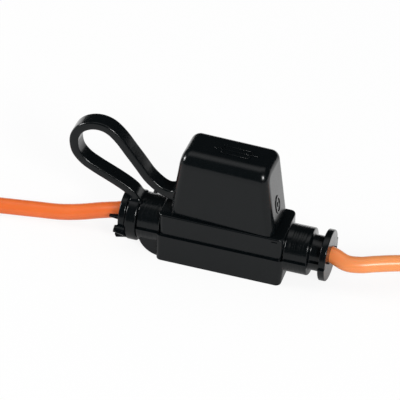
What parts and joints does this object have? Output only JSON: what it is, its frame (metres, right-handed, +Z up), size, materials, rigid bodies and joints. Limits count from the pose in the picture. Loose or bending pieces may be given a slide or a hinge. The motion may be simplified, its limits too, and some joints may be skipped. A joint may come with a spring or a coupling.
{
  "type": "inline fuse holder",
  "caption": "Inline holder for a small blade fuse, moulded over two leads, with a pull-off cap on a tether strap.",
  "frame": {"origin": "centre of the block's flat underside", "axes": "+X along the leads, away from the strap; +Y to the back of the picture; +Z up, the way the cap pulls off"},
  "size_m": [0.156, 0.0137, 0.0227],
  "materials": {
    "black_soft_pvc": "satin",
    "orange_pvc": "satin",
    "bare_copper": "satin",
    "tinned_brass": "satin",
    "blue_fuse_plastic": "gloss",
    "zinc_alloy": "satin"
  },
  "bodies": {
    "holder": {"holder_body": "black_soft_pvc", "strap_ring": "black_soft_pvc", "cap_strap": "black_soft_pvc", "fuse_housing": "blue_fuse_plastic", "fuse_element": "zinc_alloy", "left_terminal": "tinned_brass", "right_terminal": "tinned_brass", "left_conductor": "bare_copper", "right_conductor": "bare_copper", "left_jacket": "orange_pvc", "right_jacket": "orange_pvc"},
    "cap": {"cap": "black_soft_pvc"}
  },
  "joints": [
    {"name": "cap_lift", "type": "slide", "parent": "holder", "child": "cap", "axis": [0, 0, 1], "range_m": [0, 0.014], "deforming": ["cap_strap"]}
  ]
}
